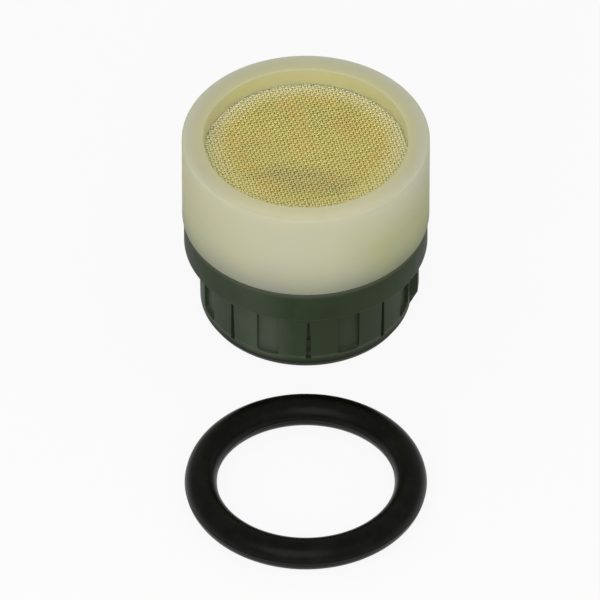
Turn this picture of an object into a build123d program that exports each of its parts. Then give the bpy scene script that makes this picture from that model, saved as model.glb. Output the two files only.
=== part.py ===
from build123d import *
import os
from math import radians, sin

# A snap-together tap aerator insert, standing on its inlet end, with its sealing washer beside it.
# Lengths are millimetres and angles are degrees. The origin is on the insert's axis, in the plane
# of the inlet rim. +Z points towards the outlet, and the washer lies off towards -Y.

# Play between pieces that slide into each other, measured on the radius
play = 0.05

# Outlet jacket, the pale sleeve that fills the spout's housing
jacket_diameter = 21.5
jacket_wall = 1.3
jacket_height = 8.75
outlet_recess = 1.8
outlet_lip_width = 0.6
outlet_outer_round = 0.25
outlet_inner_round = 0.2
jacket_foot_chamfer = 0.2

# Inlet body, the dark moulding: a flange under the jacket, a double-walled skirt and a spigot
flange_step = 0.15
flange_height = 3.2
flange_round = 0.2
skirt_overhang = 1.4
skirt_height = 6.8
skirt_draft = 0.1
skirt_wall = 1.2
skirt_chamfer_width = 0.35
skirt_chamfer_height = 0.6
air_gap = 0.5
air_web = 0.8
tube_wall = 0.85
tube_lip_width = 0.55
tube_lip_height = 0.5
mouth_step = 0.75
mouth_depth = 1.2
chamber_rise = 0.6
spigot_wall = 1.1
spigot_chamfer = 0.25

# Snap joint between the spigot and the jacket
bead_height = 0.25
bead_width = 0.8
bead_crest_width = 0.27
bead_level = 2.4
groove_play = 0.06

# Windows and slots round the skirt
bay_count = 8
first_slot_angle = 1.5
window_angle = 12.5
window_rim_margin = 1.35
window_flange_margin = 1.0
window_depth = 0.35
window_corner = 0.3
slot_rim_margin = 1.2
slot_flange_margin = 1.4
slot_low_width = 0.46
slot_high_width = 0.24

# Small key on the side of the skirt, under the flange
key_angle = 85.0
key_width = 1.2
key_rise = 0.65
key_level = 0.6
key_slope_height = 1.4

# Screens at the outlet, with the rings between them
wire_diameter = 0.22
screen_rib_width = 0.42
screen_layer_share = 0.62
outlet_screen_pitch = 1.62
inner_screen_pitch = 2.3
screen_turn = 45.0
spacer_height = 0.35
spacer_width = 1.1

# Deflector, the cone on spokes that breaks up the jets
deflector_ring_wall = 0.33
deflector_ring_height = 1.5
deflector_outlet_width = 2.5
deflector_spoke_count = 6
deflector_spoke_width = 0.9
deflector_spoke_rise = 0.9
deflector_cone_height = 1.9
deflector_tip_diameter = 1.2
deflector_disc_height = 0.5

# Jet plate, whose holes turn the water into fine jets
jet_plate_thickness = 1.0
jet_hole_diameter = 0.8
jet_edge_margin = 1.7
jet_row_spacing = 2.0
jet_outer_count = 12
jet_inner_count = 6

# Flow regulator, an elastic ring round the core of a ribbed cup
regulator_height = 3.7
regulator_wall = 0.7
regulator_floor_thickness = 0.7
regulator_outlet_depth = 0.4
regulator_core_diameter = 5.0
regulator_core_inset = 0.4
regulator_port_diameter = 1.2
regulator_port_count = 8
regulator_rib_width = 0.5
regulator_rib_height = 0.35
regulator_ring_play = 0.15
regulator_ring_section = 1.4

# Inlet strainer and the ring that holds it in the mouth
strainer_pitch = 1.75
strainer_ring_height = 0.56
strainer_ring_width = 1.15

# Sealing washer, lying in front of the insert
washer_rim_margin = 0.3
washer_section = 2.75
washer_distance = 5.3

# Radii that follow, from the jacket inwards
jacket_radius = jacket_diameter / 2
jacket_bore = jacket_radius - jacket_wall
lip_radius = jacket_bore - outlet_lip_width
screen_radius = jacket_bore - play
screen_opening = screen_radius - spacer_width
spigot_radius = jacket_bore - play
chamber_radius = spigot_radius - spigot_wall
flange_radius = jacket_radius - flange_step
skirt_radius = flange_radius - skirt_overhang
skirt_top_radius = skirt_radius + skirt_draft
skirt_bore = skirt_radius - skirt_wall
tube_outer = skirt_bore - air_gap
tube_radius = tube_outer - tube_wall
tube_lip_radius = tube_radius - tube_lip_width
mouth_radius = tube_radius + mouth_step
regulator_radius = tube_radius - play
regulator_channel_radius = regulator_radius - regulator_wall
regulator_core_radius = regulator_core_diameter / 2
washer_radius = mouth_radius + washer_rim_margin + washer_section / 2

# Heights that follow, from the inlet rim upwards
regulator_top = mouth_depth + regulator_height
regulator_floor_high = regulator_top - regulator_outlet_depth
regulator_floor_low = regulator_floor_high - regulator_floor_thickness
tube_lip_low = regulator_top + jet_plate_thickness
tube_height = tube_lip_low + tube_lip_height
chamber_floor = tube_height + chamber_rise
flange_top = skirt_height + flange_height
bead_middle = flange_top + bead_level
outlet_level = flange_top + jacket_height
lip_low = outlet_level - outlet_recess

# The stack of screens and rings, from the lip down to the end of the spigot
screen_thickness = 2 * wire_diameter
outlet_screen_low = lip_low - screen_thickness
middle_screen_low = outlet_screen_low - spacer_height - screen_thickness
inner_screen_low = middle_screen_low - spacer_height - screen_thickness
spigot_top = inner_screen_low
strainer_low = mouth_depth - screen_thickness


# A solid turned about the Z axis from a closed outline of (radius, height) points
def turned(outline):
    return revolve(make_face(Plane.XZ * Polyline(outline, close=True)), Axis.Z)


# A plain ring, or a disc where the bore is nought
def ring(radius, bore, low, high):
    return turned([(bore, low), (radius, low), (radius, high), (bore, high)])


# The same shape with its round edges at the given (radius, height) places rounded
def rounded(shape, size, places):
    chosen = [
        edge
        for edge in shape.edges().filter_by(GeomType.CIRCLE)
        if any(abs(edge.radius - r) < 1e-4 and abs(edge.arc_center.Z - z) < 1e-4 for r, z in places)
    ]
    return fillet(chosen, size)


# Copies of one shape, evenly spaced about the Z axis
def around(shape, count, first=0.0):
    return [Rot(0, 0, first + number * 360 / count) * shape for number in range(count)]


# A plane that faces outwards at the front of the insert, at a given distance from the axis and height
def front_plane(distance, height):
    return Plane(origin=(0, -distance, height), x_dir=(1, 0, 0), z_dir=(0, -1, 0))


# The outline of the snap bead on a wall of the given radius, or of its groove where there is some play
def bead_points(wall, extra):
    reach = wall + bead_height + extra
    return [
        (wall, bead_middle - bead_width / 2 - extra),
        (reach, bead_middle - bead_crest_width / 2 - extra / 2),
        (reach, bead_middle + bead_crest_width / 2 + extra / 2),
        (wall, bead_middle + bead_width / 2 + extra),
    ]


def make_outlet_jacket():
    foot = jacket_foot_chamfer
    outline = [
        (jacket_bore + foot, flange_top),
        (jacket_radius - foot, flange_top),
        (jacket_radius, flange_top + foot),
        (jacket_radius, outlet_level),
        (lip_radius, outlet_level),
        (lip_radius, lip_low),
        (jacket_bore, lip_low),
        *reversed(bead_points(jacket_bore, groove_play)),
        (jacket_bore, flange_top + foot),
    ]
    jacket = turned(outline)
    jacket = rounded(jacket, outlet_outer_round, [(jacket_radius, outlet_level)])
    return rounded(jacket, outlet_inner_round, [(lip_radius, outlet_level)])


def make_inlet_body():
    outline = [
        (mouth_radius, 0),
        (skirt_radius - skirt_chamfer_width, 0),
        (skirt_radius, skirt_chamfer_height),
        (skirt_top_radius, skirt_height),
        (flange_radius, skirt_height),
        (flange_radius, flange_top),
        (spigot_radius, flange_top),
        *bead_points(spigot_radius, 0),
        (spigot_radius, spigot_top - spigot_chamfer),
        (spigot_radius - spigot_chamfer, spigot_top),
        (chamber_radius, spigot_top),
        (chamber_radius, chamber_floor),
        (skirt_bore, chamber_floor),
        (skirt_bore, mouth_depth + air_web),
        (tube_outer, mouth_depth + air_web),
        (tube_outer, tube_height),
        (tube_lip_radius, tube_height),
        (tube_lip_radius, tube_lip_low),
        (tube_radius, tube_lip_low),
        (tube_radius, mouth_depth),
        (mouth_radius, mouth_depth),
    ]
    body = turned(outline)
    body = rounded(body, flange_round, [(flange_radius, skirt_height), (flange_radius, flange_top)])
    body -= around(make_window(), bay_count, first_slot_angle + 180 / bay_count)
    body -= around(make_slot(), bay_count, first_slot_angle)
    return body + make_key()


# The space cut out of the skirt for one shallow window, whose floor follows the skirt
def make_window():
    width = 2 * skirt_radius * sin(radians(window_angle / 2))
    height = skirt_height - window_flange_margin - window_rim_margin
    middle = window_rim_margin + height / 2
    face = front_plane(0, middle) * RectangleRounded(width, height, window_corner)
    block = extrude(face, flange_radius)
    return block - Cylinder(skirt_radius - window_depth, 4 * skirt_height)


# The space cut through the skirt for one air slot, which narrows towards the flange
def make_slot():
    top = skirt_height - slot_flange_margin
    outline = [
        (-slot_low_width / 2, slot_rim_margin),
        (slot_low_width / 2, slot_rim_margin),
        (slot_high_width / 2, top),
        (-slot_high_width / 2, top),
    ]
    inside = (skirt_bore + tube_outer) / 2
    face = make_face(front_plane(inside, 0) * Polyline(outline, close=True))
    return extrude(face, flange_radius - inside)


# The key at the side of the skirt, from inside its wall to inside the flange, with a sloping lower end
def make_key():
    inside = skirt_radius - skirt_wall / 2
    reach = skirt_radius + key_rise
    top = skirt_height + flange_height / 2
    outline = [
        (inside, key_level),
        (skirt_radius, key_level),
        (reach, key_level + key_slope_height),
        (reach, top),
        (inside, top),
    ]
    face = make_face(Plane.XZ * Polyline(outline, close=True))
    return Rot(0, 0, key_angle - 90) * extrude(face, key_width / 2, both=True)


# A woven disc as crossing ribs, one set above the other, with a plain margin where it is held
def make_screen(radius, open_radius, low, pitch, turn):
    count = int(open_radius / pitch)
    spots = [step * pitch for step in range(-count, count + 1)]
    disc = Circle(open_radius + play)
    lengthwise = Sketch() + [Pos(0, spot) * Rectangle(2 * radius, screen_rib_width) for spot in spots]
    crosswise = Sketch() + [Pos(spot, 0) * Rectangle(screen_rib_width, 2 * radius) for spot in spots]
    layer = screen_thickness * screen_layer_share
    lower = Pos(0, 0, low) * extrude(disc & lengthwise, layer)
    upper = Pos(0, 0, low + screen_thickness - layer) * extrude(disc & crosswise, layer)
    margin = ring(radius, open_radius, low, low + screen_thickness)
    return Rot(0, 0, turn) * (margin + lower + upper)


def make_spacer_ring(low):
    return ring(screen_radius, screen_radius - spacer_width, low, low + spacer_height)


def make_deflector():
    low = chamber_floor
    outer = chamber_radius - play
    inner = outer - deflector_ring_wall
    cone_radius = inner - deflector_outlet_width
    cone_top = low + deflector_spoke_rise
    cone = turned([
        (0, cone_top - deflector_cone_height),
        (deflector_tip_diameter / 2, cone_top - deflector_cone_height),
        (cone_radius, cone_top),
        (cone_radius, cone_top + deflector_disc_height),
        (0, cone_top + deflector_disc_height),
    ])
    reach = (inner + outer) / 2
    start = cone_radius / 2
    spoke = Pos(0, -(reach + start) / 2, cone_top) * Box(
        deflector_spoke_width,
        reach - start,
        deflector_disc_height,
        align=(Align.CENTER, Align.CENTER, Align.MIN),
    )
    rim = ring(outer, inner, low, low + deflector_ring_height)
    return rim + cone + around(spoke, deflector_spoke_count)


def make_jet_plate():
    plate_radius = tube_radius - play
    outer_row = plate_radius - jet_edge_margin
    hole = Cylinder(jet_hole_diameter / 2, 4 * tube_height)
    plate = ring(plate_radius, 0, regulator_top, tube_lip_low)
    plate -= around(Pos(0, -outer_row) * hole, jet_outer_count)
    return plate - around(Pos(0, jet_row_spacing - outer_row) * hole, jet_inner_count)


def make_regulator_cup():
    inside = regulator_channel_radius
    core = regulator_core_radius
    cup = turned([
        (inside, mouth_depth),
        (regulator_radius, mouth_depth),
        (regulator_radius, regulator_top),
        (inside, regulator_top),
        (inside, regulator_floor_high),
        (0, regulator_floor_high),
        (0, mouth_depth + regulator_core_inset),
        (core, mouth_depth + regulator_core_inset),
        (core, regulator_floor_low),
        (inside, regulator_floor_low),
    ])
    start = core / 2
    reach = (inside + regulator_radius) / 2
    rib = Pos(0, -(start + reach) / 2, regulator_floor_low) * Box(
        regulator_rib_width,
        reach - start,
        regulator_rib_height,
        align=(Align.CENTER, Align.CENTER, Align.MAX),
    )
    port = Pos(0, -(core + inside) / 2) * Cylinder(regulator_port_diameter / 2, 4 * tube_height)
    cup += around(rib, regulator_port_count)
    return cup - around(port, regulator_port_count, 180 / regulator_port_count)


def make_regulator_ring():
    level = regulator_floor_low - regulator_rib_height - regulator_ring_section / 2
    middle = regulator_core_radius + regulator_ring_play + regulator_ring_section / 2
    return Pos(0, 0, level) * Torus(middle, regulator_ring_section / 2)


def make_strainer_ring():
    radius = mouth_radius - play
    return ring(radius, radius - strainer_ring_width, strainer_low - strainer_ring_height, strainer_low)


def make_sealing_washer():
    offset = skirt_radius + washer_distance + washer_radius + washer_section / 2
    return Pos(0, -offset, washer_section / 2) * Torus(washer_radius, washer_section / 2)


pieces = {
    "outlet_jacket": make_outlet_jacket(),
    "outlet_screen": make_screen(screen_radius, screen_opening, outlet_screen_low, outlet_screen_pitch, 0),
    "outer_spacer_ring": make_spacer_ring(outlet_screen_low - spacer_height),
    "middle_screen": make_screen(
        screen_radius, screen_opening, middle_screen_low, inner_screen_pitch, screen_turn
    ),
    "inner_spacer_ring": make_spacer_ring(middle_screen_low - spacer_height),
    "inner_screen": make_screen(screen_radius, screen_opening, inner_screen_low, inner_screen_pitch, 0),
    "deflector": make_deflector(),
    "jet_plate": make_jet_plate(),
    "regulator_cup": make_regulator_cup(),
    "regulator_ring": make_regulator_ring(),
    "inlet_strainer": make_screen(
        mouth_radius - play, regulator_channel_radius, strainer_low, strainer_pitch, 0
    ),
    "strainer_ring": make_strainer_ring(),
    "inlet_body": make_inlet_body(),
    "sealing_washer": make_sealing_washer(),
}

os.makedirs("parts", exist_ok=True)
for name, piece in pieces.items():
    export_step(piece, f"parts/{name}.step")
    print(name, len(piece.solids()), round(piece.volume, 2))
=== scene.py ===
import math
import bmesh
import bpy
from mathutils import Matrix, Vector


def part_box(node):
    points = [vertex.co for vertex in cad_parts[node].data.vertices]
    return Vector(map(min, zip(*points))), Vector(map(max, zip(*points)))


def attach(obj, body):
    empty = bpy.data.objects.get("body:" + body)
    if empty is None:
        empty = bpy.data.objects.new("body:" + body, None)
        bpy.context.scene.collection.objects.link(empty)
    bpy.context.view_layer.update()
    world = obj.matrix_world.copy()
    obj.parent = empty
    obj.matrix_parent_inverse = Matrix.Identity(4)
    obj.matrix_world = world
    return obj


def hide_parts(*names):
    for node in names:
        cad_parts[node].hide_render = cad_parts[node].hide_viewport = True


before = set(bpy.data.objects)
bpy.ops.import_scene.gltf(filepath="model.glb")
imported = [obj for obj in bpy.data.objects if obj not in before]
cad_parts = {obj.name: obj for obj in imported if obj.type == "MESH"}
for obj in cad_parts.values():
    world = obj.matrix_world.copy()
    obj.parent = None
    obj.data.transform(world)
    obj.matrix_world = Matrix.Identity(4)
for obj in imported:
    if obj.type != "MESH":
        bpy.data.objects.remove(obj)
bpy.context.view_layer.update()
print("frame loaded:", ", ".join(sorted(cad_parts)))

mm = 0.001


# Camera, lamps and floor

view = {
    "aim": (-0.5, -4.18, 3.46),       # the point in the middle of the picture, mm
    "elevation": 42.7,                # degrees above the floor
    "distance": 1500.0,               # mm, a long lens
    "frameWidth": 52.2,               # mm of the scene across the picture
}

studio = {
    "worldLevel": 0.58,
    "floorPaint": (0.86, 0.86, 0.86, 1.0),
    "floorGlow": 0.9,                 # how far the floor shows as plain white
    "floorSize": 900.0,
    "floorLevel": -0.02,              # just under the pieces, which rest on zero
    "keyDirection": (-12.0, 34.0),    # azimuth from the front and elevation
    "keyPower": 0.355,
    "fillDirection": (24.0, 26.0),
    "fillPower": 0.06,
    "lampDistance": 260.0,
    "lampSize": 220.0,
}


def placeCamera():
    data = bpy.data.cameras.new("camera")
    camera = bpy.data.objects.new("camera", data)
    bpy.context.collection.objects.link(camera)
    tilt = math.radians(view["elevation"])
    away = Vector((0.0, -math.cos(tilt), math.sin(tilt)))
    camera.location = Vector(view["aim"]) * mm + away * view["distance"] * mm
    camera.rotation_euler = away.to_track_quat("Z", "Y").to_euler()
    data.sensor_width = 36.0
    data.lens = data.sensor_width * view["distance"] / view["frameWidth"]
    data.clip_start = 0.01
    data.clip_end = 10.0
    bpy.context.scene.camera = camera


def addLamp(name, direction, power):
    azimuth, elevation = (math.radians(angle) for angle in direction)
    towards = Vector((
        math.sin(azimuth) * math.cos(elevation),
        -math.cos(azimuth) * math.cos(elevation),
        math.sin(elevation),
    ))
    data = bpy.data.lights.new(name, "AREA")
    data.shape = "DISK"
    data.size = studio["lampSize"] * mm
    distance = studio["lampDistance"] * mm
    # about the power that lights a white surface facing the lamp to this share of white
    data.energy = power * math.pi ** 2 * distance ** 2
    lamp = bpy.data.objects.new(name, data)
    bpy.context.collection.objects.link(lamp)
    lamp.location = towards * distance
    lamp.rotation_euler = towards.to_track_quat("Z", "Y").to_euler()


def lightWorld():
    world = bpy.data.worlds.new("studio")
    world.use_nodes = True
    background = world.node_tree.nodes["Background"]
    background.inputs["Color"].default_value = (1.0, 1.0, 1.0, 1.0)
    background.inputs["Strength"].default_value = studio["worldLevel"]
    bpy.context.scene.world = world


# Node maths: one socket of a tree, on which Python's own arithmetic adds Math nodes

class Signal:
    def __init__(self, tree, socket=None):
        self.tree = tree
        self.socket = socket

    # any node: its type, its settings, the values or links of its sockets, and which output to go on from
    def node(self, kind, settings=None, sockets=None, output=0):
        made = self.tree.nodes.new(kind)
        for name, value in (settings or {}).items():
            setattr(made, name, value)
        for name, value in (sockets or {}).items():
            for part in value if isinstance(value, list) else [value]:
                if isinstance(part, Signal):
                    self.tree.links.new(part.socket, made.inputs[name])
                else:
                    made.inputs[name].default_value = part
        return Signal(self.tree, made.outputs[output] if made.outputs else None)

    def maths(self, operation, *others):
        values = dict(enumerate((self, *others)))
        return self.node("ShaderNodeMath", {"operation": operation}, values)

    def __add__(self, other):
        return self.maths("ADD", other)

    def __sub__(self, other):
        return self.maths("SUBTRACT", other)

    def __rsub__(self, other):
        return self.maths("MULTIPLY_ADD", -1.0, other)

    def __mul__(self, other):
        return self.maths("MULTIPLY", other)

    def __truediv__(self, other):
        return self.maths("DIVIDE", other)

    def __rtruediv__(self, other):
        return self.node("ShaderNodeMath", {"operation": "DIVIDE"}, {0: other, 1: self})

    def __neg__(self):
        return self.maths("MULTIPLY", -1.0)

    __radd__ = __add__
    __rmul__ = __mul__

    # one coordinate of a vector
    def axis(self, name):
        return self.node("ShaderNodeSeparateXYZ", {}, {"Vector": self}, name)

    # the share of the way between two limits, from nought to one
    def between(self, low, high):
        return self.node("ShaderNodeMapRange", {"clamp": True}, {0: self, 1: low, 2: high})

    # the same for a pair of limits in mm
    def across(self, limits):
        return self.between(*(limit * mm for limit in limits))

    # one inside a pair of limits in mm and nought outside them
    def within(self, limits):
        low, high = (limit * mm for limit in limits)
        return self.maths("GREATER_THAN", low) * self.maths("LESS_THAN", high)

    # a mix of two colours, with this number as the share of the second
    def blend(self, first, second, mode="MIX"):
        settings = {"data_type": "RGBA", "blend_type": mode}
        return self.node("ShaderNodeMix", settings, {0: self, 6: first, 7: second}, 2)


# Materials

def startMaterial(name):
    material = bpy.data.materials.new(name)
    material.use_nodes = True
    material.node_tree.nodes.clear()
    start = Signal(material.node_tree)
    place = start.node("ShaderNodeTexCoord", output="Object")
    return material, place


def closeMaterial(place, surface):
    place.node("ShaderNodeOutputMaterial", {}, {"Surface": surface})


# a point's coordinates and its distance from the insert's axis
def measure(place):
    x, y, height = (place.axis(name) for name in "XYZ")
    return x, y, height, (x * x + y * y).maths("SQRT")


def noise(place, size, detail=3.0, roughness=0.5, stretch=None):
    where = place
    if stretch:
        where = place.node("ShaderNodeMapping", {}, {"Vector": place, "Scale": stretch})
    return place.node("ShaderNodeTexNoise", {}, {
        "Vector": where, "Scale": 1 / (size * mm), "Detail": detail, "Roughness": roughness,
    })


def bump(place, height, strength, distance):
    return place.node(
        "ShaderNodeBump", {}, {"Height": height, "Strength": strength, "Distance": distance * mm}
    )


# In each material, radii and heights are pairs in mm: a tint sets in from the first to the
# second, or a gap or line shows between them. Shares run from nought on the axis to one
# straight out to that side.

creamPlastic = {
    "colour": (0.605, 0.60, 0.43, 1.0),
    "warm": (0.615, 0.595, 0.39, 1.0),
    "cloudSize": 6.0,
    "grainSize": 0.35,
    "drift": 1.2,                           # how far the borders of the tints wander
    "low": (0.272, 0.282, 0.241, 1.0),      # painted shade: darker towards the bottom, where the dark body lies behind the wall
    "bodyShadeHeights": (15.8, 9.8),
    "pale": (0.60, 0.61, 0.475, 1.0),       # the outer part of the rim
    "paleRadii": (9.8, 10.5),
    "paleHeights": (18.2, 18.6),
    "front": (0.71, 0.69, 0.46, 1.0),       # painted light: the top of the rim lighter in front
    "litFrontShares": (0.45, 0.95),
    "litFrontRadii": (10.7, 10.3),
    "brassGlow": (0.62, 0.60, 0.31, 1.0),      # painted light: the brass's warm glow on the lip's inner wall
    "brassGlowRadii": (9.9, 8.8),
    "brassGlowHeights": (14.0, 16.0),
    "deepBrassGlow": (0.67, 0.635, 0.30, 1.0),
    "deepHeights": (18.5, 16.9),
    "edge": (0.54, 0.53, 0.37, 1.0),        # painted shade: the two roundings of the rim darkened against their highlight, by the distance from its middle
    "rimMiddle": 9.8,
    "edgeDistances": (0.66, 0.86),
    "edgeHeights": (18.4, 18.6),
    "sideTint": (0.83, 0.86, 0.70, 1.0),        # what is left of the colour where this is multiplied in: darker and yellower towards the right side, less on the left, fading out towards the top
    "sideTintRight": (0.18, 0.65),
    "sideTintLeft": (0.4, 0.85),
    "sideTintHeights": (17.8, 14.0),
    "scatter": 0.8,
    "scatterScale": 1.4,
}


def makeCreamPlastic():
    look = creamPlastic
    material, place = startMaterial("creamAcetal")
    x, y, height, radius = measure(place)
    clouds = noise(place, look["cloudSize"])
    grain = noise(place, look["grainSize"], 4.0, 0.6)
    drift = (clouds - 0.5) * (look["drift"] * mm)
    colour = clouds.between(0.35, 0.7).blend(look["colour"], look["warm"])
    # painted shade of the dark body, darker towards the bottom of the jacket
    bodyShade = (height + drift).across(look["bodyShadeHeights"])
    colour = (bodyShade * bodyShade * bodyShade).blend(colour, look["low"])
    top = height.across(look["paleHeights"])
    colour = (top * radius.across(look["paleRadii"])).blend(colour, look["pale"])
    ahead = (-y / radius).between(*look["litFrontShares"])
    # painted light on the top of the rim in front
    colour = (top * ahead * radius.across(look["litFrontRadii"])).blend(colour, look["front"])
    # painted light: the brass's warm glow on the lip, stronger further down the wall
    brassGlow = height.across(look["deepHeights"]).blend(look["brassGlow"], look["deepBrassGlow"])
    nearBrass = (radius + drift).across(look["brassGlowRadii"]) * height.across(look["brassGlowHeights"])
    colour = (nearBrass * (0.85 - ahead * 0.3)).blend(colour, brassGlow)
    fromMiddle = (radius - look["rimMiddle"] * mm).maths("ABSOLUTE")
    # painted shade on the two roundings of the rim
    edge = fromMiddle.across(look["edgeDistances"]) * height.across(look["edgeHeights"])
    colour = (edge * 0.7).blend(colour, look["edge"])
    aside = x / radius + (clouds - 0.5) * 0.3
    sideTint = aside.between(*look["sideTintRight"]) + (-aside).between(*look["sideTintLeft"]) * 0.4
    colour = (sideTint * height.across(look["sideTintHeights"])).blend(colour, look["sideTint"], "MULTIPLY")
    surface = place.node("ShaderNodeBsdfPrincipled", {}, {
        "Base Color": colour,
        "Roughness": grain * 0.12 + 0.58,
        "Normal": bump(place, grain + clouds * 2.0, 0.25, 0.02),
        "Subsurface Weight": look["scatter"],
        "Subsurface Radius": (1.0, 0.9, 0.55),
        "Subsurface Scale": look["scatterScale"] * mm,
        "Specular IOR Level": 0.2,
    })
    closeMaterial(place, surface)
    return material


greenPlastic = {
    "colour": (0.024, 0.040, 0.017, 1.0),
    "light": (0.035, 0.052, 0.026, 1.0),
    "cloudSize": 3.0,
    "streakSize": 0.8,
    "streakStretch": (1.0, 1.0, 0.25),
    "grainSize": 0.12,
    "skirt": (0.036, 0.055, 0.029, 1.0),    # painted light: the skirt lighter below the flange
    "litSkirtHeights": (7.0, 6.6),
    "window": (0.055, 0.075, 0.045, 1.0),   # painted light: the floors of the windows lighter
    "litWindowRadii": (9.02, 8.94),
    "litLeft": (0.078, 0.096, 0.066, 1.0),    # painted light: a lighter part at the left, from its inner to its outer border
    "litLeftInner": (0.12, 0.33),
    "litLeftOuter": (0.70, 0.52),
    "shadedRight": (0.026, 0.036, 0.016, 1.0),     # painted shade: the right side darker
    "shadedRightShares": (0.0, 0.3),
    "foot": (0.010, 0.016, 0.007, 1.0),     # painted shade: the outer edge of the foot darkened
    "footShadeHeights": (1.1, 0.7),
    "footRadii": (8.7, 8.8),
    "rim": (0.085, 0.095, 0.058, 1.0),      # the flange's upper edge, lit through the jacket
    "rimHeights": (9.4, 9.85),
    "line": (0.075, 0.095, 0.065, 1.0),     # painted highlight: a light line just above the foot
    "highlightLineHeights": (1.2, 1.5),
    "litGap": (0.16, 0.19, 0.135, 1.0),        # painted light: the walls of the air gap lightened, seen through the slots
    "gapRadii": (7.45, 8.75),
    "gapHeights": (1.0, 6.9),
}


def makeGreenPlastic():
    look = greenPlastic
    material, place = startMaterial("greenMoulding")
    x, _, height, radius = measure(place)
    clouds = noise(place, look["cloudSize"], 4.0)
    streaks = noise(place, look["streakSize"], 3.0, 0.6, look["streakStretch"])
    grain = noise(place, look["grainSize"], 3.0)
    colour = (clouds * 0.6 + streaks * 0.4).between(0.35, 0.68).blend(look["colour"], look["light"])
    below = height.across(look["litSkirtHeights"])
    # painted light, lighter below the flange
    colour = (below * 0.6).blend(colour, look["skirt"])
    # painted light on the floors of the windows and what lies inside them
    colour = (radius.across(look["litWindowRadii"]) * 0.8).blend(colour, look["window"])
    aside = x / radius + (clouds - 0.5) * 0.25
    # painted light at the left
    litLeft = (-aside).between(*look["litLeftInner"]) * (-aside).between(*look["litLeftOuter"])
    colour = (litLeft * (below * 0.4 + 0.3)).blend(colour, look["litLeft"])
    # painted shade on the right side
    colour = (aside.between(*look["shadedRightShares"]) * 0.55).blend(colour, look["shadedRight"])
    outside = radius.across(look["footRadii"])
    # painted shade on the outer edge of the foot
    colour = (height.across(look["footShadeHeights"]) * outside).blend(colour, look["foot"])
    colour = height.across(look["rimHeights"]).blend(colour, look["rim"])
    # painted highlight, a light line just above the foot
    footHighlight = height.within(look["highlightLineHeights"]) * outside * (streaks.between(0.2, 0.7) * 0.5 + 0.25)
    colour = footHighlight.blend(colour, look["line"])
    # painted light inside the air gap
    litGap = radius.within(look["gapRadii"]) * height.within(look["gapHeights"])
    colour = litGap.blend(colour, look["litGap"])
    surface = place.node("ShaderNodeBsdfPrincipled", {}, {
        "Base Color": colour,
        "Roughness": streaks * 0.2 + 0.45,
        "Normal": bump(place, grain * 0.5 + streaks, 0.3, 0.02),
        "Specular IOR Level": 0.12,
    })
    closeMaterial(place, surface)
    return material


brassWire = {
    "litNearRim": (0.98, 0.90, 0.42, 1.0),      # painted light: lighter near the rim, against the lip's shade
    "middleTone": (0.92, 0.85, 0.365, 1.0),
    "middleToneRadii": (8.6, 5.5),
    "middleToneDrift": 4.0,
    "patchSize": 2.4,
    "tarnish": (0.94, 0.77, 0.32, 1.0),
    "stainSize": 3.7,
    "olive": (0.84, 0.83, 0.37, 1.0),
    "dull": (0.77, 0.71, 0.355, 1.0),       # where water has stood, in front of the middle
    "dullCentre": (0.0, -3.3),
    "dullReach": (5.2, 1.8),
    "dullTurn": -14.0,                      # degrees, which lowers its right end
    "scaleAndLight": (0.94, 0.91, 0.61, 1.0),      # limescale just inside the rim, lightened further as painted light against the lip's shade, and brighter in front
    "litScaleFront": (1.0, 0.945, 0.46, 1.0),
    "scaledShares": (-0.3, 0.6),
    "scaledWider": 1.5,                     # how much further in it reaches in front
    "scaledRadii": (7.0, 8.8),
    "scaledDrift": 1.2,
    "grainSize": 0.1,
}


def makeBrassWire():
    look = brassWire
    material, place = startMaterial("brassWire")
    x, y, _, radius = measure(place)
    patches = noise(place, look["patchSize"], 3.0)
    stains = noise(place, look["stainSize"], 2.0)
    drawn = noise(place, look["grainSize"], 2.0)
    # painted light: the weave lighter towards the rim than in the middle
    middleTone = (radius + (patches - 0.5) * (look["middleToneDrift"] * mm)).across(look["middleToneRadii"])
    colour = middleTone.blend(look["litNearRim"], look["middleTone"])
    colour = (stains.between(0.5, 0.62) * 0.6).blend(colour, look["olive"])
    side = x / mm - look["dullCentre"][0]
    front = y / mm - look["dullCentre"][1]
    turn = math.radians(look["dullTurn"])
    long = (side * math.cos(turn) + front * math.sin(turn)) / look["dullReach"][0]
    short = (front * math.cos(turn) - side * math.sin(turn)) / look["dullReach"][1]
    fromDull = (long * long + short * short).maths("SQRT") + patches - 0.5
    dull = fromDull.between(1.1, 0.5) * 0.7
    colour = dull.blend(colour, look["dull"])
    colour = (patches.between(0.42, 0.72) * (1.0 - dull) * 0.7).blend(colour, look["tarnish"])
    # limescale with painted light against the lip's shade, just inside the rim and wider and brighter in
    # front
    ahead = (-y / radius).between(*look["scaledShares"])
    shift = (patches - 0.5) * (look["scaledDrift"] * mm) + ahead * (look["scaledWider"] * mm)
    scaleAndLight = (radius + shift).across(look["scaledRadii"])
    scale = ahead.blend(look["scaleAndLight"], look["litScaleFront"])
    surface = place.node("ShaderNodeBsdfPrincipled", {}, {
        "Base Color": scaleAndLight.blend(colour, scale),
        "Metallic": 1.0 - scaleAndLight * 0.7,
        "Roughness": drawn * 0.2 + 0.5,
        "Normal": bump(place, drawn, 0.15, 0.01),
    })
    closeMaterial(place, surface)
    return material


blackRubber = {
    "colour": (0.0025, 0.0032, 0.0017, 1.0),
    "bloom": (0.007, 0.0075, 0.0045, 1.0),
}


def makeBlackRubber():
    material, place = startMaterial("blackRubber")
    clouds = noise(place, 2.2, 5.0, 0.6)
    grain = noise(place, 0.09, 3.0)
    surface = place.node("ShaderNodeBsdfPrincipled", {}, {
        "Base Color": clouds.between(0.45, 0.75).blend(blackRubber["colour"], blackRubber["bloom"]),
        "Roughness": clouds * 0.25 + 0.2,
        "Normal": bump(place, grain + clouds, 0.3, 0.015),
        "Specular IOR Level": 0.1,
    })
    closeMaterial(place, surface)
    return material


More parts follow.
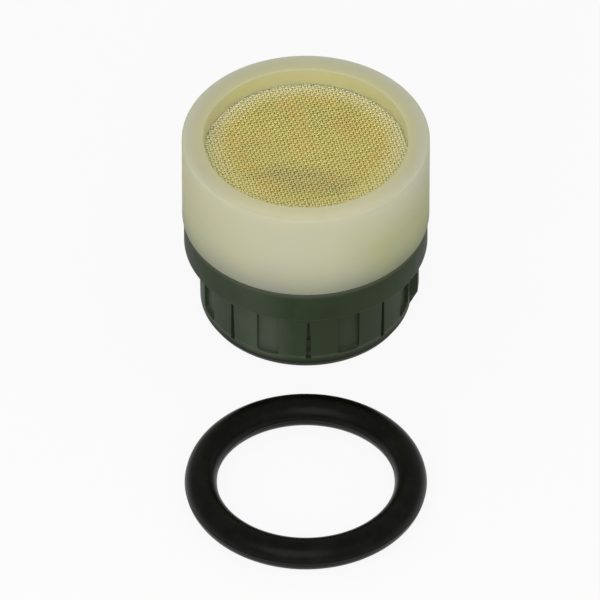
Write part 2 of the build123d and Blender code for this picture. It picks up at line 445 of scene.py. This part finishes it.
palePlastic = {
    "colour": (0.56, 0.56, 0.50, 1.0),
    "shade": (0.46, 0.46, 0.40, 1.0),
}


def makePalePlastic():
    material, place = startMaterial("paleMoulding")
    clouds = noise(place, 3.0, 3.0)
    grain = noise(place, 0.15, 3.0)
    surface = place.node("ShaderNodeBsdfPrincipled", {}, {
        "Base Color": clouds.between(0.35, 0.7).blend(palePlastic["colour"], palePlastic["shade"]),
        "Roughness": grain * 0.15 + 0.4,
        "Normal": bump(place, grain, 0.2, 0.015),
    })
    closeMaterial(place, surface)
    return material


def makeFloorPaint():
    material, place = startMaterial("floorPaint")
    paint = place.node("ShaderNodeBsdfDiffuse", {}, {"Color": studio["floorPaint"]})
    glow = place.node("ShaderNodeEmission", {}, {"Color": (1.0, 1.0, 1.0, 1.0), "Strength": 1.0})
    ray = place.node("ShaderNodeLightPath", output="Is Camera Ray")
    glossy = place.node("ShaderNodeLightPath", output="Is Glossy Ray")
    through = place.node("ShaderNodeLightPath", output="Is Transmission Ray")
    seen = (ray + glossy + through).maths("MINIMUM", 1.0)
    surface = place.node("ShaderNodeMixShader", {}, {0: seen * studio["floorGlow"], 1: paint, 2: glow})
    closeMaterial(place, surface)
    return material


def addFloor(material):
    size = studio["floorSize"] * mm
    level = studio["floorLevel"] * mm
    data = bpy.data.meshes.new("floor")
    corners = [(-size, -size, level), (size, -size, level), (size, size, level), (-size, size, level)]
    data.from_pydata(corners, [], [(0, 1, 2, 3)])
    data.materials.append(material)
    floor = bpy.data.objects.new("floor", data)
    bpy.context.collection.objects.link(floor)


placeCamera()
lightWorld()
addLamp("keyLamp", studio["keyDirection"], studio["keyPower"])
addLamp("fillLamp", studio["fillDirection"], studio["fillPower"])
cream = makeCreamPlastic()
green = makeGreenPlastic()
brass = makeBrassWire()
rubber = makeBlackRubber()
pale = makePalePlastic()
addFloor(makeFloorPaint())
print("camera, lamps, floor and materials made")


# Turned pieces: an outline of (radius, height, rounding) corners in mm, spun about the insert's axis

# the outline with an arc at each corner that has a rounding
def roundCorners(corners, steps=6):
    points = []
    for number, (radius, height, rounding) in enumerate(corners):
        here = Vector((radius, height))
        if rounding <= 0:
            points.append(here)
            continue
        back = (Vector(corners[number - 1][:2]) - here).normalized()
        ahead = (Vector(corners[(number + 1) % len(corners)][:2]) - here).normalized()
        half = back.angle(ahead) / 2
        centre = here + (back + ahead).normalized() * rounding / math.sin(half)
        start = here + back * rounding / math.tan(half) - centre
        sweep = back.angle_signed(ahead)
        turn = (math.pi - abs(sweep)) * math.copysign(1.0, sweep)
        for step in range(steps + 1):
            points.append(centre + Matrix.Rotation(turn * step / steps, 2) @ start)
    return points


def spinOutline(name, points, segments, material, centre=(0.0, 0.0)):
    mesh = bmesh.new()
    rings = []
    for step in range(segments):
        angle = 2 * math.pi * step / segments
        rings.append([
            mesh.verts.new((
                (centre[0] + point.x * math.sin(angle)) * mm,
                (centre[1] - point.x * math.cos(angle)) * mm,
                point.y * mm,
            ))
            for point in points
        ])
    for step in range(segments):
        here, following = rings[step], rings[(step + 1) % segments]
        for number in range(len(points)):
            after = (number + 1) % len(points)
            mesh.faces.new((here[number], following[number], following[after], here[after]))
    bmesh.ops.remove_doubles(mesh, verts=mesh.verts, dist=0.0005 * mm)
    bmesh.ops.recalc_face_normals(mesh, faces=mesh.faces)
    data = bpy.data.meshes.new(name)
    mesh.to_mesh(data)
    mesh.free()
    return addPiece(name, data, material)


def addPiece(name, data, material):
    data.materials.append(material)
    piece = bpy.data.objects.new(name, data)
    bpy.context.collection.objects.link(piece)
    smooth(data, 40)
    return piece


# smooth shading, but for edges that are sharper than this angle in degrees
def smooth(data, angle):
    data.shade_smooth()
    data.set_sharp_from_angle(angle=math.radians(angle))


# the four corners of a ridge on a turned wall, from its lower end up
def ridge(wall, level, size):
    reach, width, crest = size
    return [
        (wall, level - width / 2, 0.0),
        (wall + reach, level - crest / 2, 0.0),
        (wall + reach, level + crest / 2, 0.0),
        (wall, level + width / 2, 0.0),
    ]


def settle(piece, node):
    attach(piece, "root")
    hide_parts(node)


# the lowest and highest corners of a CAD node, in mm
def nodeBox(node):
    low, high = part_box(node)
    return Vector(low) / mm, Vector(high) / mm


jacket = {
    "wall": 1.3,
    "lipWidth": 0.6,
    "lipHeight": 1.8,
    "outerRounding": 0.25,
    "innerRounding": 0.2,
    "footRounding": 0.2,
    "grooveLevel": 12.4,                  # the groove that snaps over the body's bead
    "groove": (0.31, 0.92, 0.33),         # its depth, its width at the wall and at its bottom
    "segments": 256,
}


def makeJacket():
    low, high = nodeBox("outlet_jacket")
    radius = high.x
    bore = radius - jacket["wall"]
    lip = bore - jacket["lipWidth"]
    foot = jacket["footRounding"]
    corners = [
        (bore, low.z, foot),
        (radius, low.z, foot),
        (radius, high.z, jacket["outerRounding"]),
        (lip, high.z, jacket["innerRounding"]),
        (lip, high.z - jacket["lipHeight"], 0.0),
        (bore, high.z - jacket["lipHeight"], 0.0),
        *reversed(ridge(bore, jacket["grooveLevel"], jacket["groove"])),
    ]
    piece = spinOutline("outletJacket", roundCorners(corners, 8), jacket["segments"], cream)
    settle(piece, "outlet_jacket")


makeJacket()
print("jacket made")


# Geometry trees: each has named inputs, and ends in plain geometry with its material

# an empty tree's first signal, and a signal for each input
def startTree(name, inputs):
    tree = bpy.data.node_groups.new(name, "GeometryNodeTree")
    tree.interface.new_socket("Geometry", in_out="OUTPUT", socket_type="NodeSocketGeometry")
    for label, kind in inputs.items():
        tree.interface.new_socket(label, in_out="INPUT", socket_type="NodeSocket" + kind)
    start = Signal(tree)
    return start, {label: start.node("NodeGroupInput", output=label) for label in inputs}


def closeTree(start, geometry, material):
    solid = start.node("GeometryNodeRealizeInstances", {}, {"Geometry": geometry})
    painted = start.node("GeometryNodeSetMaterial", {}, {"Geometry": solid, "Material": material})
    start.node("NodeGroupOutput", {}, {0: painted})
    return start.tree


def vector(start, x=0.0, y=0.0, z=0.0):
    return start.node("ShaderNodeCombineXYZ", {}, {"X": x, "Y": y, "Z": z})


# a plain mesh from a geometry tree, whose inputs are given by name
def growPiece(name, tree, values, base=None):
    data = base or bpy.data.meshes.new(name + "Base")
    source = bpy.data.objects.new(name + "Base", data)
    bpy.context.collection.objects.link(source)
    modifier = source.modifiers.new("nodes", "NODES")
    modifier.node_group = tree
    for item in tree.interface.items_tree:
        if item.in_out == "INPUT" and item.name in values:
            modifier[item.identifier] = values[item.name]
    bpy.context.view_layer.update()
    evaluated = source.evaluated_get(bpy.context.evaluated_depsgraph_get())
    grown = bpy.data.meshes.new_from_object(evaluated)
    grown.name = name
    bpy.data.objects.remove(source)
    piece = bpy.data.objects.new(name, grown)
    bpy.context.collection.objects.link(piece)
    print(name, "faces", len(grown.polygons))
    return piece


# Woven screens: two families of wires that pass over and under each other

weave = {
    "Pitch": 0.28,
    "Wire": 0.15,
    "Warp": 0.3,                          # how far the cloth is pulled out of true
    "WarpSize": 4.0,
    "Uneven": 0.07,                       # the most that a wire stands off its place, as a share of the pitch
    "Sides": 6,
}


def makeWeaveTree():
    inputs = {name: "Int" if name == "Sides" else "Float" for name in weave}
    inputs.update({"Radius": "Float", "Level": "Float", "Turn": "Float", "Seed": "Int"})
    inputs["Material"] = "Material"
    start, given = startTree("wovenDisc", inputs)
    radius, pitch, wire = given["Radius"], given["Pitch"], given["Wire"]
    side = (radius / pitch).maths("FLOOR")

    # straight lines of points, two to a mesh, which stand a quarter of a mesh off each crossing
    spots = start.node("GeometryNodeMeshLine", {"mode": "OFFSET"}, {
        "Count": side * 2.0 + 1.0,
        "Start Location": vector(start, y=-(side * pitch)),
        "Offset": vector(start, y=pitch),
    })
    end = (side + 0.25) * pitch
    line = start.node(
        "GeometryNodeCurvePrimitiveLine", {}, {"Start": vector(start, x=-end), "End": vector(start, x=end)}
    )
    line = start.node("GeometryNodeResampleCurve", {}, {"Curve": line, "Count": side * 4.0 + 2.0})
    lines = start.node("GeometryNodeInstanceOnPoints", {}, {"Points": spots, "Instance": line})
    lines = start.node("GeometryNodeRealizeInstances", {}, {"Geometry": lines})

    # each line ends at the disc's edge
    point = start.node("GeometryNodeInputPosition")
    along, across = point.axis("X"), point.axis("Y")
    reach = (radius * radius - across * across).maths("MAXIMUM", 0.0).maths("SQRT")
    beyond = along.maths("ABSOLUTE").maths("GREATER_THAN", reach + pitch * 0.5)
    lines = start.node(
        "GeometryNodeDeleteGeometry", {"domain": "POINT"}, {"Geometry": lines, "Selection": beyond}
    )
    inside = along.maths("MINIMUM", reach).maths("MAXIMUM", -reach)
    wave = (along * math.pi / pitch).maths("COSINE") * (across * math.pi / pitch).maths("COSINE")
    rise = wave * wire * math.sqrt(0.5)
    row = (across / pitch).maths("ROUND") + 1000.0      # each line's own number, above nought
    ring = start.node(
        "GeometryNodeCurvePrimitiveCircle", {}, {"Resolution": given["Sides"], "Radius": wire * 0.5}
    )

    def family(sense):
        stray = start.node("FunctionNodeRandomValue", {"data_type": "FLOAT"}, {
            2: -given["Uneven"], 3: given["Uneven"], "ID": row, "Seed": given["Seed"] + sense,
        }, 1)
        place = vector(start, inside, across + stray * pitch, rise * sense)
        bent = start.node("GeometryNodeSetPosition", {}, {"Geometry": lines, "Position": place})
        return start.node(
            "GeometryNodeCurveToMesh", {}, {"Curve": bent, "Profile Curve": ring, "Fill Caps": True}
        )

    crosswise = start.node(
        "GeometryNodeTransform", {}, {"Geometry": family(-1.0), "Rotation": (0.0, 0.0, math.pi / 2)}
    )
    both = start.node("GeometryNodeJoinGeometry", {}, {"Geometry": [family(1.0), crosswise]})

    # the whole cloth is pulled a little out of true
    drift = start.node("ShaderNodeTexNoise", {"noise_dimensions": "4D"}, {
        "Vector": point, "W": given["Seed"], "Scale": 1.0 / given["WarpSize"], "Detail": 1.0,
    }, "Color")
    drift = start.node("ShaderNodeVectorMath", {"operation": "SUBTRACT"}, {0: drift, 1: (0.5, 0.5, 0.5)})
    pull = vector(start, given["Warp"], given["Warp"])
    drift = start.node("ShaderNodeVectorMath", {"operation": "MULTIPLY"}, {0: drift, 1: pull})
    warped = start.node("GeometryNodeSetPosition", {}, {"Geometry": both, "Offset": drift})
    turned = start.node("GeometryNodeTransform", {}, {
        "Geometry": warped,
        "Rotation": vector(start, z=given["Turn"]),
        "Translation": vector(start, z=given["Level"]),
    })
    shaded = start.node("GeometryNodeSetShadeSmooth", {}, {"Geometry": turned})
    return closeTree(start, shaded, given["Material"])


weaveTree = makeWeaveTree()

# each screen's piece and its turn in degrees
screens = {
    "outlet_screen": ("outletScreen", 13.0),
    "middle_screen": ("middleScreen", -2.0),
    "inner_screen": ("innerScreen", 35.0),
    "inlet_strainer": ("inletStrainer", 12.0),
}


def makeScreens():
    sizes = {name: weave[name] * mm for name in ("Pitch", "Wire", "Warp", "WarpSize")}
    for seed, (node, (name, turn)) in enumerate(screens.items()):
        high = nodeBox(node)[1]
        piece = growPiece(name, weaveTree, {
            **weave,
            **sizes,
            "Radius": (high.x - weave["Warp"] / 2) * mm,
            "Level": (high.z - weave["Wire"]) * mm,
            "Turn": math.radians(turn),
            "Seed": seed,
            "Material": brass,
        })
        settle(piece, node)


makeScreens()
print("screens woven")


body = {
    "mouthRadius": 7.4,
    "mouthDepth": 1.2,
    "mouthRounding": 0.1,
    "footRadius": 8.85,
    "footHeight": 0.6,
    "footRounding": 0.1,
    "skirtRadius": 9.2,
    "skirtLowRounding": 0.2,
    "skirtTopRadius": 9.3,
    "skirtTopRounding": 0.12,
    "skirtHeight": 6.8,
    "skirtBore": 8.0,
    "airFloor": 2.0,
    "flangeTop": 10.0,
    "flangeLowRounding": 0.2,
    "flangeTopRounding": 0.3,
    "spigotRadius": 9.4,
    "spigotRounding": 0.25,
    "beadLevel": 12.4,
    "bead": (0.25, 0.8, 0.27),
    "chamberRadius": 8.3,
    "chamberFloor": 7.0,
    "tubeOuter": 7.5,
    "tubeRadius": 6.65,
    "tubeLip": 6.1,
    "tubeLipLow": 5.9,
    "tubeHeight": 6.4,
    "segments": 256,
}

# the windows, slots and key of the skirt, with angles in degrees
bays = {
    "Count": 8,
    "First": 1.5,
    "WindowWidth": 2.0,
    "WindowLow": 1.35,
    "WindowHigh": 5.8,
    "WindowFloor": 8.85,
    "WindowCorner": 0.3,
    "SlotLow": 1.2,
    "SlotHigh": 5.4,
    "SlotLowWidth": 0.46,
    "SlotHighWidth": 0.24,
    "SlotInside": 7.75,
    "KeyAngle": 85.0,
    "KeyWidth": 1.2,
    "KeyLow": 0.6,
    "KeyShoulder": 2.0,
    "KeyHigh": 9.8,
    "KeyInside": 8.1,
    "KeyFoot": 9.2,
    "KeyOutside": 9.85,
    "Outside": 12.0,                      # where the shapes that cut the windows and slots end
}


def makeBodyBlank():
    high = nodeBox("inlet_body")[1]
    corners = [
        (body["mouthRadius"], 0.0, body["mouthRounding"]),
        (body["footRadius"], 0.0, body["footRounding"]),
        (body["skirtRadius"], body["footHeight"], body["skirtLowRounding"]),
        (body["skirtTopRadius"], body["skirtHeight"], body["skirtTopRounding"]),
        (high.x, body["skirtHeight"], body["flangeLowRounding"]),
        (high.x, body["flangeTop"], body["flangeTopRounding"]),
        (body["spigotRadius"], body["flangeTop"], 0.0),
        *ridge(body["spigotRadius"], body["beadLevel"], body["bead"]),
        (body["spigotRadius"], high.z, body["spigotRounding"]),
        (body["chamberRadius"], high.z, 0.0),
        (body["chamberRadius"], body["chamberFloor"], 0.0),
        (body["skirtBore"], body["chamberFloor"], 0.0),
        (body["skirtBore"], body["airFloor"], 0.0),
        (body["tubeOuter"], body["airFloor"], 0.0),
        (body["tubeOuter"], body["tubeHeight"], 0.0),
        (body["tubeLip"], body["tubeHeight"], 0.0),
        (body["tubeLip"], body["tubeLipLow"], 0.0),
        (body["tubeRadius"], body["tubeLipLow"], 0.0),
        (body["tubeRadius"], body["mouthDepth"], 0.0),
        (body["mouthRadius"], body["mouthDepth"], 0.0),
    ]
    return spinOutline("inletBodyBlank", roundCorners(corners), body["segments"], green)


# one prism from a flat outline, standing out from the axis towards -Y
def prism(start, outline, near, far):
    fill = start.node("GeometryNodeFillCurve", {}, {"Curve": outline})
    length = far - near
    block = start.node(
        "GeometryNodeExtrudeMesh", {}, {"Mesh": fill, "Offset Scale": length, "Individual": False}
    )
    lid = start.node("GeometryNodeFlipFaces", {}, {"Mesh": fill})
    joined = start.node("GeometryNodeJoinGeometry", {}, {"Geometry": [block, lid]})
    whole = start.node("GeometryNodeMergeByDistance", {}, {"Geometry": joined, "Distance": 0.001 * mm})
    upright = start.node(
        "GeometryNodeTransform", {}, {"Geometry": whole, "Rotation": (math.pi / 2, 0.0, 0.0)}
    )
    return start.node(
        "GeometryNodeTransform", {}, {"Geometry": upright, "Translation": vector(start, y=-near)}
    )


def makeBayTree():
    inputs = {name: "Int" if name == "Count" else "Float" for name in bays}
    inputs = {"Geometry": "Geometry", **inputs, "Material": "Material"}
    start, size = startTree("skirtBays", inputs)
    count = size["Count"]

    height = size["WindowHigh"] - size["WindowLow"]
    frameCurve = start.node(
        "GeometryNodeCurvePrimitiveQuadrilateral", {"mode": "RECTANGLE"},
        {"Width": size["WindowWidth"], "Height": height},
    )
    frameCurve = start.node(
        "GeometryNodeFilletCurve", {"mode": "POLY"},
        {"Curve": frameCurve, "Count": 4, "Radius": size["WindowCorner"]},
    )
    middle = (size["WindowHigh"] + size["WindowLow"]) * 0.5
    frameCurve = start.node("GeometryNodeTransform", {}, {
        "Geometry": frameCurve, "Translation": vector(start, y=middle),
    })
    window = prism(start, frameCurve, size["WindowFloor"], size["Outside"])

    low, high = size["SlotLow"], size["SlotHigh"]
    wide, narrow = size["SlotLowWidth"] * 0.5, size["SlotHighWidth"] * 0.5
    slotCurve = start.node("GeometryNodeCurvePrimitiveQuadrilateral", {"mode": "POINTS"}, {
        "Point 1": vector(start, -wide, low),
        "Point 2": vector(start, wide, low),
        "Point 3": vector(start, narrow, high),
        "Point 4": vector(start, -narrow, high),
    })
    slot = prism(start, slotCurve, size["SlotInside"], size["Outside"])

    index = start.node("GeometryNodeInputIndex")
    spots = start.node(
        "GeometryNodeMeshLine", {"mode": "OFFSET"}, {"Count": count, "Offset": (0.0, 0.0, 0.0)}
    )

    def around(tool, first):
        turn = vector(start, z=index * (2.0 * math.pi / count) + first)
        copies = start.node(
            "GeometryNodeInstanceOnPoints", {}, {"Points": spots, "Instance": tool, "Rotation": turn}
        )
        return start.node("GeometryNodeRealizeInstances", {}, {"Geometry": copies})

    windows = around(window, size["First"] + math.pi / count)
    slots = around(slot, size["First"])
    tools = start.node("GeometryNodeJoinGeometry", {}, {"Geometry": [windows, slots]})
    cut = start.node(
        "GeometryNodeMeshBoolean", {"operation": "DIFFERENCE", "solver": "EXACT"},
        {0: size["Geometry"], 1: tools},
    )

    # the key's outline seen from its side, which stands off the axis towards +X until it is turned
    keyCurve = start.node("GeometryNodeCurvePrimitiveQuadrilateral", {"mode": "POINTS"}, {
        "Point 1": vector(start, size["KeyInside"], size["KeyLow"]),
        "Point 2": vector(start, size["KeyFoot"], size["KeyLow"]),
        "Point 3": vector(start, size["KeyOutside"], size["KeyShoulder"]),
        "Point 4": vector(start, size["KeyOutside"], size["KeyHigh"]),
    })
    halfKey = size["KeyWidth"] * 0.5
    key = start.node("GeometryNodeTransform", {}, {
        "Geometry": prism(start, keyCurve, -halfKey, halfKey),
        "Rotation": vector(start, z=size["KeyAngle"] - math.pi / 2),
    })
    whole = start.node(
        "GeometryNodeMeshBoolean", {"operation": "UNION", "solver": "EXACT"}, {1: [cut, key]}
    )
    return closeTree(start, whole, size["Material"])


def makeBody():
    blank = makeBodyBlank()
    values = {name: value * mm for name, value in bays.items()}
    values["Count"] = bays["Count"]
    for name in ("First", "KeyAngle"):
        values[name] = math.radians(bays[name])
    values["Material"] = green
    data = blank.data
    bpy.data.objects.remove(blank)
    piece = growPiece("inletBody", makeBayTree(), values, data)
    smooth(piece.data, 30)
    settle(piece, "inlet_body")


makeBody()
print("body cut")


washer = {
    "ringSegments": 256,
    "sectionSegments": 48,
    "flashHeight": 0.025,                 # the thin line that the mould leaves inside and outside
    "flashWidth": 0.1,
}


def makeWasher():
    low, high = nodeBox("sealing_washer")
    centre = (low + high) / 2
    section = (high.z - low.z) / 2
    middle = (high.x - low.x) / 2 - section - washer["flashHeight"]
    count = washer["sectionSegments"]
    side = washer["flashWidth"] / 2 / section
    stops = []
    for step in range(count):
        angle = 2 * math.pi * step / count
        if step % (count // 2):
            stops.append((angle, section))
        else:
            crest = section + washer["flashHeight"]
            stops += [(angle - side, section), (angle, crest), (angle + side, section)]
    points = [
        Vector((middle + reach * math.cos(angle), centre.z + reach * math.sin(angle)))
        for angle, reach in stops
    ]
    piece = spinOutline("sealingWasher", points, washer["ringSegments"], rubber, (centre.x, centre.y))
    settle(piece, "sealing_washer")


makeWasher()

for node, paint in (
    ("outer_spacer_ring", pale), ("inner_spacer_ring", pale), ("deflector", pale), ("jet_plate", pale),
    ("regulator_cup", pale), ("regulator_ring", rubber), ("strainer_ring", green),
):
    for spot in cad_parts[node].material_slots:
        spot.material = paint
print("washer made and inner pieces painted")

bpy.context.scene.view_settings.view_transform = "Standard"
